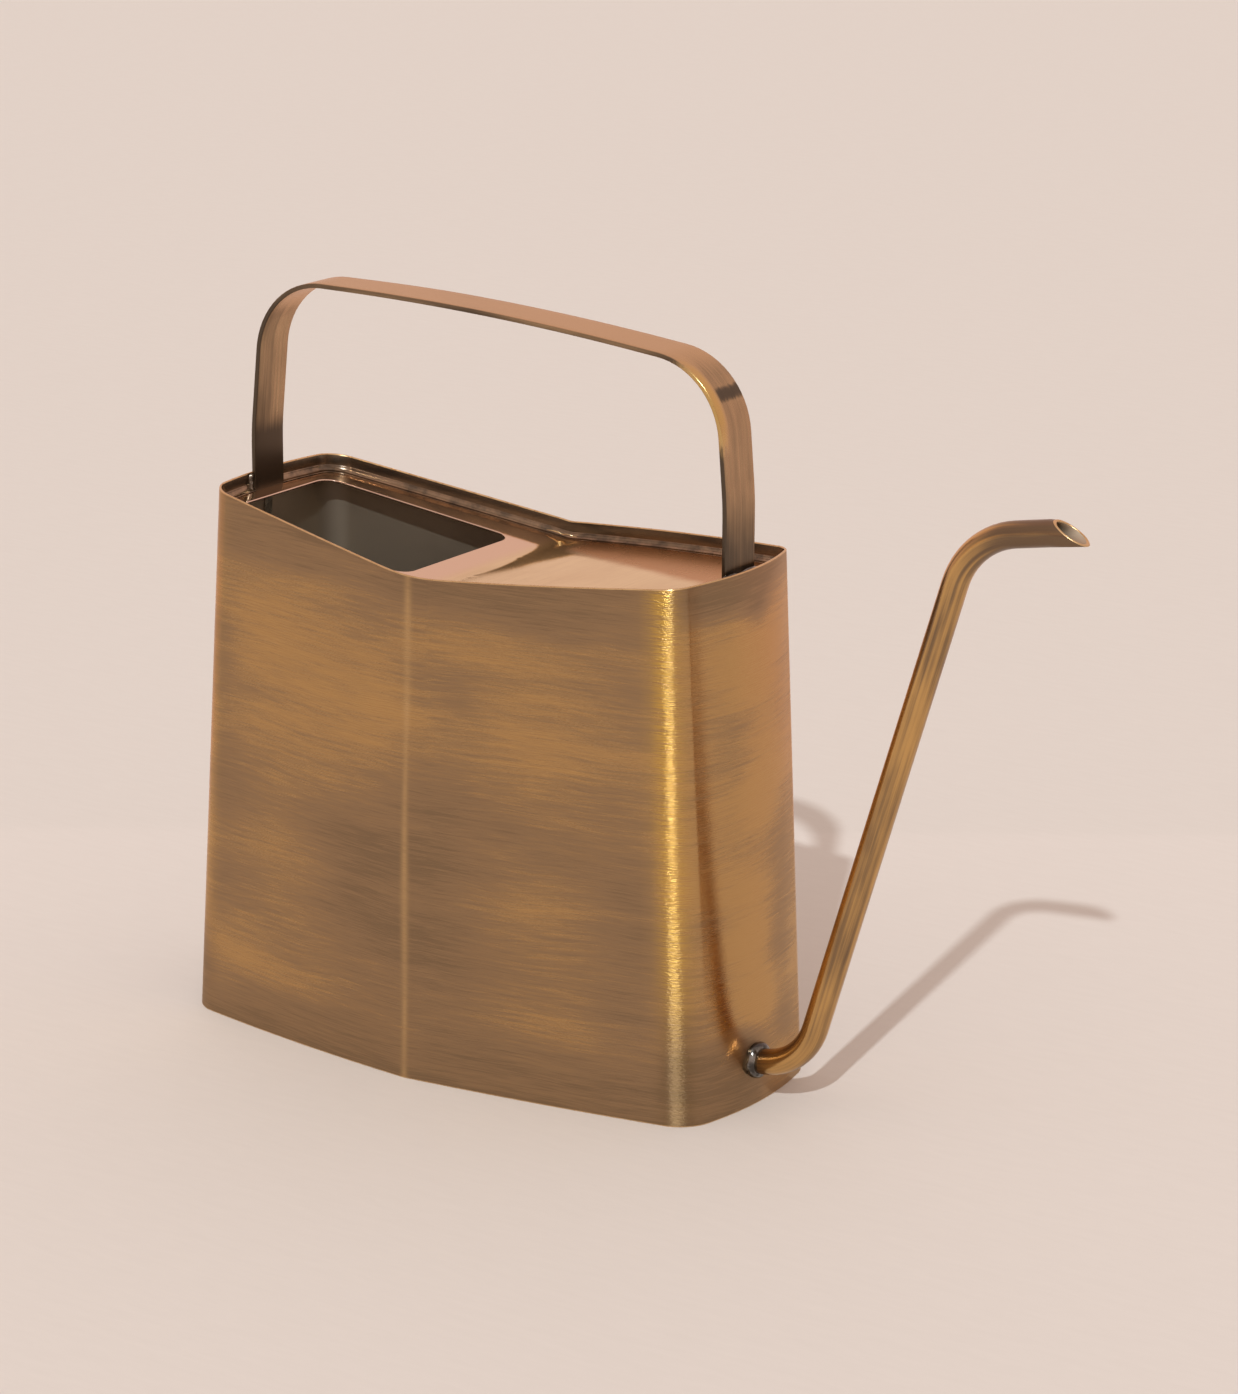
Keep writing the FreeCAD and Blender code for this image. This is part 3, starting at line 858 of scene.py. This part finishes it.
class Shader:
    """Short names for the nodes of one material."""

    def __init__(self, name, metallic=1.0):
        self.material = bpy.data.materials.new(name)
        self.material.use_nodes = True
        self.tree = self.material.node_tree
        self.surface = self.tree.nodes["Principled BSDF"]
        self.surface.inputs["Metallic"].default_value = metallic

    def add(self, kind, **settings):
        node = self.tree.nodes.new("ShaderNode" + kind)
        for key, value in settings.items():
            setattr(node, key, value)
        return node

    def put(self, socket, value):
        """Links a socket to another, or sets its value."""
        if isinstance(value, bpy.types.NodeSocket):
            self.tree.links.new(value, socket)
        else:
            socket.default_value = value

    def math(self, operation, a, b, clamp=False):
        node = self.add("Math", operation=operation, use_clamp=clamp)
        self.put(node.inputs[0], a)
        self.put(node.inputs[1], b)
        return node.outputs[0]

    def total(self, value, *others):
        """Sum of all the values."""
        for other in others:
            value = self.math("ADD", value, other)
        return value

    def times(self, a, b):
        return self.math("MULTIPLY", a, b)

    def swing(self, value, amount):
        """A noise from 0 to 1 made to swing evenly about zero, by the amount from end to end."""
        return self.times(self.math("SUBTRACT", value, 0.5), amount)

    def mix(self, share, a, b):
        node = self.add("Mix", data_type="RGBA")
        self.put(node.inputs["Factor"], share)
        self.put(node.inputs["A"], opaque(a))
        self.put(node.inputs["B"], opaque(b))
        return node.outputs["Result"]

    def span(self, value, low, high, to_low=0.0, to_high=1.0):
        """Value carried from one range to another, held at its ends."""
        node = self.add("MapRange", interpolation_type="SMOOTHSTEP")
        names = ("Value", "From Min", "From Max", "To Min", "To Max")
        for key, number in zip(names, (value, low, high, to_low, to_high)):
            self.put(node.inputs[key], number)
        return node.outputs["Result"]

    def place(self):
        """The brush map's coordinates, in metres."""
        return self.add("UVMap", uv_map="brush").outputs["UV"]

    def solid(self):
        """Coordinates in the object's own space, in metres."""
        return self.add("TexCoord").outputs["Object"]

    def split(self, vector):
        """The three numbers of a vector."""
        node = self.add("SeparateXYZ")
        self.put(node.inputs[0], vector)
        return list(node.outputs)

    def noise(self, vector, stretch, detail=2.0, rough=0.5, shift=(0.0, 0.0, 0.0)):
        """Noise from 0 to 1 with the given number of waves per metre each way."""
        mapping = self.add("Mapping")
        self.put(mapping.inputs["Vector"], vector)
        mapping.inputs["Scale"].default_value = stretch
        mapping.inputs["Location"].default_value = shift
        node = self.add("TexNoise")
        self.put(node.inputs["Vector"], mapping.outputs["Vector"])
        node.inputs["Scale"].default_value = 1.0
        node.inputs["Detail"].default_value = detail
        node.inputs["Roughness"].default_value = rough
        return node.outputs["Fac"]

    def field(self, name):
        """Numbers kept at the mesh's points under a name."""
        return self.add("Attribute", attribute_name=name).outputs["Fac"]

    def bump(self, height, distance, strength=1.0, under=None):
        node = self.add("Bump")
        self.put(node.inputs["Height"], height)
        node.inputs["Distance"].default_value = distance
        node.inputs["Strength"].default_value = strength
        if under is not None:
            self.put(node.inputs["Normal"], under)
        return node.outputs["Normal"]

    def finish(self, color, roughness, normal, brushed=0.0, turn=0.0, graze=(1.0, 1.0, 1.0)):
        """Fills in the surface: graze tints it at grazing angles, brushed draws its gloss out into lines."""
        self.surface.inputs["Specular Tint"].default_value = opaque(graze)
        self.put(self.surface.inputs["Base Color"], color)
        self.put(self.surface.inputs["Roughness"], roughness)
        if normal is not None:
            self.put(self.surface.inputs["Normal"], normal)
        if brushed:
            self.surface.inputs["Anisotropic"].default_value = brushed
            self.surface.inputs["Anisotropic Rotation"].default_value = turn
            tangent = self.add("Tangent", direction_type="UV_MAP", uv_map="brush")
            self.put(self.surface.inputs["Tangent"], tangent.outputs["Tangent"])
        return self.material


def wandering(s, place, reach, stretch):
    """Brush map coordinates whose lines drift gently up and down."""
    joined = s.add("CombineXYZ")
    s.put(joined.inputs["Y"], s.swing(s.noise(place, stretch), reach))
    moved = s.add("VectorMath", operation="ADD")
    s.put(moved.inputs[0], place)
    s.put(moved.inputs[1], joined.outputs[0])
    return moved.outputs[0]


GOLD = (0.520, 0.315, 0.130)
RUBBED = (0.620, 0.410, 0.195)
TARNISH = (0.345, 0.228, 0.128)
DEEP = (0.215, 0.150, 0.090)
# Tint of the painted highlight down the corners.
HIGHLIGHT_YELLOW = (0.720, 0.450, 0.100)


def body_brass():
    """Antiqued brass, brushed level round the body, with soft darker patches, painted shade at the floor
    edge and at the foot of the corners, rubbed edges, and a painted yellow highlight down the corners.
    """
    s = Shader("body_brass")
    place = s.place()
    lines = wandering(s, place, 0.006, (13.0, 26.0, 1.0))
    fine = s.noise(lines, (75.0, 2700.0, 1.0), 3.0, 0.65)
    middle = s.noise(lines, (38.0, 900.0, 1.0), 4.0, 0.65, (3.0, 1.0, 0.0))
    broad = s.noise(lines, (9.0, 120.0, 1.0), 3.0, 0.6, (1.0, 5.0, 0.0))
    # This field holds the patina together with painted shade: a contact shadow along the floor edge and
    # darkening at the foot of the corners.
    level = s.total(s.field("patina_and_shade"), s.swing(broad, 0.85), s.swing(middle, 1.10), s.swing(fine, 1.0))
    dark = s.span(level, 0.05, 0.95)
    color = s.mix(dark, GOLD, TARNISH)
    color = s.mix(s.span(level, 0.85, 1.35, 0.0, 0.6), color, DEEP)
    worn = s.times(s.field("wear"), s.span(middle, 0.25, 0.65, 0.55, 1.0))
    color = s.mix(worn, color, RUBBED)
    corner = s.field("corner")
    height = s.split(place)[1]
    # Painted highlight: the corners, the right ones most, are tinted yellow in flecks, fading towards the
    # floor.
    painted_glint = s.times(corner, s.span(fine, 0.36, 0.60, 0.15, 1.0))
    painted_glint = s.times(painted_glint, s.span(height, 0.015, 0.060, 0.15, 1.0))
    color = s.mix(painted_glint, color, HIGHLIGHT_YELLOW)
    scuffed = s.times(corner, s.span(height, 0.010, 0.080, 0.36, 0.0))
    rough = s.total(s.span(dark, 0.0, 1.0, 0.20, 0.28), s.times(fine, 0.07), scuffed)
    grooves = s.noise(lines, (9.0, 2500.0, 1.0), 2.0, 0.6, (0.0, 7.0, 0.0))
    brushed = s.bump(grooves, 0.00016, 0.5)
    flakes = s.noise(lines, (420.0, 2300.0, 1.0), 2.0, 0.6, (5.0, 2.0, 0.0))
    sparkle = s.bump(s.times(flakes, corner), 0.00038, 1.0, brushed)
    return s.finish(color, rough, sparkle, 0.96, 0.25, (0.97, 0.90, 0.80))


def edge_brass():
    """Bare edge of the sheet, rubbed bright."""
    s = Shader("edge_brass")
    grain = s.noise(s.solid(), (300.0,) * 3, 3.0)
    color = s.mix(grain, (0.56, 0.36, 0.17), (0.78, 0.55, 0.30))
    return s.finish(color, s.span(grain, 0.2, 0.8, 0.22, 0.36), None)


def inner_brass():
    """Inside of the sheet: dull and smoky below the deck, dark and glossy above it."""
    s = Shader("inner_brass")
    smoke = s.noise(s.solid(), (22.0, 22.0, 30.0), 3.0, 0.55)
    smoky = s.mix(s.span(smoke, 0.35, 0.70), (0.570, 0.480, 0.370), (0.430, 0.355, 0.270))
    # Darker mottled tone on the inner face above the deck.
    upper_mottle = s.noise(s.solid(), (34.0, 34.0, 150.0), 3.0, 0.5, (1.0, 2.0, 0.0))
    upper_tone = s.mix(s.span(upper_mottle, 0.35, 0.70), (0.250, 0.190, 0.132), (0.110, 0.091, 0.072))
    above = s.field("above_deck")
    rough = s.span(above, 0.0, 1.0, 0.50, 0.26)
    return s.finish(s.mix(above, smoky, upper_tone), rough, None, graze=(0.90, 0.80, 0.66))


def deck_brass():
    """Deck plate: nearly a mirror, faintly hazy, pinker on the left as a painted reflection, and with an
    orange band at the back that is a painted reflection of the inner back wall.
    """
    s = Shader("deck_brass")
    place = s.place()
    haze = s.noise(place, (40.0, 28.0, 1.0), 4.0, 0.55)
    fine = s.noise(place, (900.0, 24.0, 1.0))
    color = s.mix(s.span(haze, 0.3, 0.75), (0.80, 0.650, 0.420), (0.73, 0.57, 0.36))
    color = s.mix(s.span(fine, 0.35, 0.75, 0.0, 0.12), color, TARNISH)
    x, y, _ = s.split(s.solid())
    # Painted reflection: the left half is tinted pink.
    color = s.mix(s.span(x, -0.006, 0.002, 1.0, 0.0), color, (0.760, 0.570, 0.455))
    # Painted reflection of the inner back wall: an orange-brown band along the back.
    slanted = s.total(y, s.times(x, 0.405), s.swing(haze, 0.008))
    painted_reflection_band = s.times(s.span(slanted, 0.029, 0.037), s.span(x, 0.001, 0.014))
    color = s.mix(s.times(painted_reflection_band, 0.88), color, (0.520, 0.235, 0.090))
    rough = s.total(s.span(haze, 0.2, 0.8, 0.05, 0.10), s.times(painted_reflection_band, 0.20))
    waves = s.bump(s.noise(place, (26.0, 30.0, 1.0), 1.0), 0.0006, 0.25)
    return s.finish(color, rough, s.bump(fine, 0.00001, 0.3, waves), graze=(0.97, 0.91, 0.78))


def fillet_brass():
    """Darkened, smoothed solder between the deck and the walls."""
    s = Shader("fillet_brass")
    grain = s.noise(s.solid(), (150.0,) * 3, 4.0, 0.6)
    color = s.mix(s.span(grain, 0.35, 0.70), (0.34, 0.24, 0.16), (0.13, 0.10, 0.075))
    waves = s.bump(s.noise(s.solid(), (420.0,) * 3, 3.0), 0.00008, 0.3)
    return s.finish(color, s.span(grain, 0.3, 0.7, 0.14, 0.24), waves, graze=(0.88, 0.76, 0.62))


def strap_brass():
    """Strap brushed along its length, dark at its feet and front edge, with a painted gold highlight on one
    shoulder and a painted lighter sheen along its bent top.
    """
    s = Shader("strap_brass")
    place = s.place()
    fine = s.noise(place, (3200.0, 14.0, 1.0), 3.0, 0.6)
    middle = s.noise(place, (700.0, 9.0, 1.0), 3.0, 0.5, (2.0, 4.0, 0.0))
    broad = s.noise(place, (70.0, 24.0, 1.0), 3.0, 0.5, (5.0, 2.0, 0.0))
    x, y, z = s.split(s.solid())
    shoulder = smudge(s, x, z, (0.0890, 0.2340), (0.0140, 0.0150), 1.0)
    blot = smudge(s, x, z, (0.0911, 0.2368), (0.0040, 0.0022), 0.45)
    front_edge = s.times(s.span(y, -0.0101, -0.0093, 0.55, 0.0), s.math("SUBTRACT", 1.0, shoulder))
    # Painted sheen: the bent top is drawn lighter.
    painted_top_sheen = s.span(z, 0.242, 0.250, 0.0, -0.30)
    left_end = s.span(x, -0.080, -0.050, 0.08, 0.0)
    feet = s.span(z, 0.184, 0.208, 0.40, 0.0)
    left_foot = s.times(s.span(x, -0.070, -0.060, 0.55, 0.0), s.span(z, 0.191, 0.208, 1.0, 0.0))
    # Painted highlight: a gold patch on the right shoulder, towards its front edge.
    painted_shoulder_highlight = s.times(shoulder, s.span(y, -0.0080, -0.0050, 0.6, 0.0))
    level = s.total(s.times(fine, 0.40), s.times(middle, 0.30), s.times(broad, 0.70))
    level = s.total(level, front_edge, painted_top_sheen, left_end, feet, left_foot)
    level = s.total(level, s.times(blot, s.span(y, -0.0070, -0.0040)))
    level = s.math("SUBTRACT", level, painted_shoulder_highlight)
    dark = s.span(level, 0.40, 1.15)
    color = s.mix(dark, (0.570, 0.385, 0.215), (0.110, 0.085, 0.062))
    # The painted gold highlight is mixed in on the shoulder.
    color = s.mix(s.math("MULTIPLY", painted_shoulder_highlight, 1.2, True), color, (0.640, 0.420, 0.130))
    rough = s.total(s.span(dark, 0.0, 1.0, 0.20, 0.32), s.times(fine, 0.08))
    return s.finish(color, rough, s.bump(fine, 0.00008, 0.35), 0.70, 0.0, (1.0, 0.92, 0.82))


def smudge(s, x, z, centre, size, strength):
    """Soft oval spot in the XZ plane, with a ragged outline."""
    wide, tall = [
        s.math("POWER", s.math("DIVIDE", s.math("SUBTRACT", value, middle), reach), 2.0)
        for value, middle, reach in zip((x, z), centre, size)
    ]
    ragged = s.noise(s.solid(), (500.0, 900.0, 200.0), 3.0)
    return s.span(s.total(wide, tall, s.swing(ragged, 1.4)), 0.1, 1.6, strength, 0.0)


def spout_brass():
    """Tube rubbed smooth, with dark and gold streaks along it, darker at its foot and its mouth."""
    s = Shader("spout_brass")
    place = s.place()
    streaks = s.noise(place, (460.0, 8.0, 1.0), 3.0, 0.6)
    fine = s.noise(place, (2600.0, 40.0, 1.0))
    patches = s.noise(place, (90.0, 26.0, 1.0), 3.0, 0.5, (4.0, 1.0, 0.0))
    x = s.split(s.solid())[0]
    level = s.total(s.times(streaks, 0.65), s.times(patches, 0.45), s.times(fine, 0.15))
    level = s.total(level, s.span(x, 0.109, 0.118, 0.20, -0.01), s.span(x, 0.178, 0.205, 0.0, 0.22))
    dark = s.span(level, 0.48, 0.80)
    color = s.mix(dark, (0.630, 0.380, 0.145), (0.200, 0.135, 0.085))
    rough = s.total(s.span(dark, 0.0, 1.0, 0.13, 0.22), s.times(fine, 0.05))
    return s.finish(color, rough, s.bump(fine, 0.00005, 0.25), 0.45)


def solder_metal(name, light, shade, rough):
    """Glossy, slightly lumpy silver solder that has darkened in patches."""
    s = Shader(name)
    grain = s.noise(s.solid(), (260.0,) * 3, 4.0, 0.6)
    color = s.mix(s.span(grain, 0.36, 0.64), light, shade)
    waves = s.bump(s.noise(s.solid(), (700.0,) * 3), 0.0005, 0.35)
    return s.finish(color, s.span(grain, 0.3, 0.7, rough, rough + 0.12), waves)


# ---- the can

sheet_brass = [body_brass(), edge_brass(), inner_brass()]
solder_dark = solder_metal("solder_dark", (0.27, 0.26, 0.24), (0.07, 0.065, 0.06), 0.11)
solder_bright = solder_metal("solder_bright", (0.80, 0.62, 0.36), (0.45, 0.33, 0.20), 0.14)
solder_grey = solder_metal("solder_grey", (0.62, 0.58, 0.52), (0.25, 0.21, 0.17), 0.22)

half_count = 2 * QUARTER
finish_piece(shell("body_front", 0, half_count), sheet_brass, "body_brass", "front_shell")
finish_piece(shell("body_back", half_count, half_count), sheet_brass, "body_brass", "back_shell")
finish_piece(deck(), [deck_brass()], "deck_brass", "deck_plate")
finish_piece(deck_fillet(), [fillet_brass()], "deck_seam", "deck_solder_seam")
finish_piece(weld_bead(), [solder_bright], "solder", "deck_solder_seam")
finish_piece(strap(), [strap_brass()], "strap_brass", "handle_strap")
finish_piece(spout(), [spout_brass()] + sheet_brass[1:], "spout_brass", "spout_tube")
finish_piece(solder_ring(), [solder_dark], "solder", "spout_solder_ring")
finish_piece(foot_solder(-1), [solder_grey], "solder", "left_handle_solder")
finish_piece(foot_solder(1), [solder_dark], "solder", "right_handle_solder")
finish_piece(foot_filling(), [solder_dark], "solder", "right_handle_solder")

for node, material in (
    ("base_plate", sheet_brass[INSIDE]),
    ("base_solder_seam", solder_grey),
    ("left_end_seam", solder_grey),
    ("right_end_seam", solder_grey),
):
    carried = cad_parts[node]
    carried.data.materials.clear()
    carried.data.materials.append(material)

# ---- floor, reflected wall, light and camera

FLOOR_SIZE = 60.0
CARD_SIZE = (3.0, 1.5)
CARD_GAP = 0.227
CARD_COLOR = (0.84, 0.62, 0.56)

SKY_STRENGTH = 0.92
SKY_BELOW = (0.745, 0.575, 0.50)
SKY_ABOVE = (0.80, 0.660, 0.59)
SKY_TOP = 0.8

KEY_PLACE = (0.69, -1.10, 1.19)
KEY_AIM = (0.19, 0.0, 0.21)
KEY_SIZE = 0.020
KEY_STRENGTH = 1.85
KEY_COLOR = (0.90, 0.97, 1.0)

CAMERA_YAW = 0.5928
CAMERA_PITCH = 0.2830
CAMERA_ROLL = 0.0056
CAMERA_PLACE = (0.82232, -1.14628, 0.53106)
CAMERA_LENS = 112.46
CAMERA_SHIFT = 0.0022


def plane(name, centre, across, up, width, height):
    """Rectangle about a centre, spanned by two unit directions."""
    a, b = Vector(across) * width / 2.0, Vector(up) * height / 2.0
    middle = Vector(centre)
    corners = [middle - a - b, middle + a - b, middle + a + b, middle - a + b]
    thing = new_object(name, corners, [(0, 1, 2, 3)])
    return thing


def floor_paint():
    """Pale matt floor with a faint brushed grain."""
    s = Shader("floor_paint", 0.0)
    grain = s.noise(s.solid(), (60.0, 300.0, 1.0), 4.0, 0.6)
    color = s.mix(grain, (0.700, 0.655, 0.615), (0.740, 0.695, 0.655))
    return s.finish(color, 0.8, s.bump(grain, 0.0002, 0.2))


def reflected_card():
    """Card that only mirrors see: it gives the metal something pale and pink to reflect from behind."""
    normal = Vector((math.sin(CAMERA_YAW), -math.cos(CAMERA_YAW), 0.0))
    along = (math.cos(CAMERA_YAW), math.sin(CAMERA_YAW), 0.0)
    middle = -normal * CARD_GAP + Vector((0.0, 0.0, CARD_SIZE[1] / 2.0))
    card = plane("reflected_card", middle, along, (0.0, 0.0, 1.0), *CARD_SIZE)
    card.visible_camera = False
    card.visible_diffuse = False
    card.visible_shadow = False
    material = bpy.data.materials.new("card_glow")
    material.use_nodes = True
    tree = material.node_tree
    tree.nodes.clear()
    emission = tree.nodes.new("ShaderNodeEmission")
    emission.inputs["Color"].default_value = opaque(CARD_COLOR)
    emission.inputs["Strength"].default_value = 1.0
    output = tree.nodes.new("ShaderNodeOutputMaterial")
    tree.links.new(emission.outputs[0], output.inputs["Surface"])
    card.data.materials.append(material)


def world_light():
    """Soft warm light from all round, a little paler above."""
    world = bpy.data.worlds.new("studio")
    bpy.context.scene.world = world
    world.use_nodes = True
    tree = world.node_tree
    background = tree.nodes["Background"]
    place = tree.nodes.new("ShaderNodeTexCoord")
    split = tree.nodes.new("ShaderNodeSeparateXYZ")
    tree.links.new(place.outputs["Generated"], split.inputs[0])
    ramp = tree.nodes.new("ShaderNodeValToRGB")
    for element, position, color in zip(ramp.color_ramp.elements, (0.0, SKY_TOP), (SKY_BELOW, SKY_ABOVE)):
        element.position = position
        element.color = opaque(color)
    tree.links.new(split.outputs["Z"], ramp.inputs["Fac"])
    tree.links.new(ramp.outputs["Color"], background.inputs["Color"])
    background.inputs["Strength"].default_value = SKY_STRENGTH


def key_light():
    """Small soft light above the camera. It is a sun, so the floor is lit evenly right to the back."""
    light = bpy.data.lights.new("key", "SUN")
    light.angle = KEY_SIZE
    light.energy = KEY_STRENGTH
    light.color = KEY_COLOR
    thing = bpy.data.objects.new("key", light)
    thing.location = KEY_PLACE
    thing.rotation_mode = "QUATERNION"
    thing.rotation_quaternion = (Vector(KEY_AIM) - thing.location).to_track_quat("-Z", "Y")
    bpy.context.scene.collection.objects.link(thing)


def set_camera():
    """Camera in front of the can and to its right, looking a little down on it."""
    lens = bpy.data.cameras.new("camera")
    lens.lens = CAMERA_LENS
    lens.sensor_width = 36.0
    lens.shift_x = CAMERA_SHIFT
    lens.clip_start = 0.05
    lens.clip_end = 100.0
    thing = bpy.data.objects.new("camera", lens)
    bpy.context.scene.collection.objects.link(thing)
    turn = Matrix.Rotation(CAMERA_YAW, 4, "Z") @ Matrix.Rotation(math.pi / 2.0 - CAMERA_PITCH, 4, "X")
    thing.matrix_world = Matrix.Translation(CAMERA_PLACE) @ turn @ Matrix.Rotation(CAMERA_ROLL, 4, "Z")
    bpy.context.scene.camera = thing


floor = plane("floor", (0.0, 0.0, 0.0), (1.0, 0.0, 0.0), (0.0, 1.0, 0.0), FLOOR_SIZE, FLOOR_SIZE)
floor.data.materials.append(floor_paint())
reflected_card()
world_light()
key_light()
set_camera()
bpy.context.scene.view_settings.view_transform = "Standard"
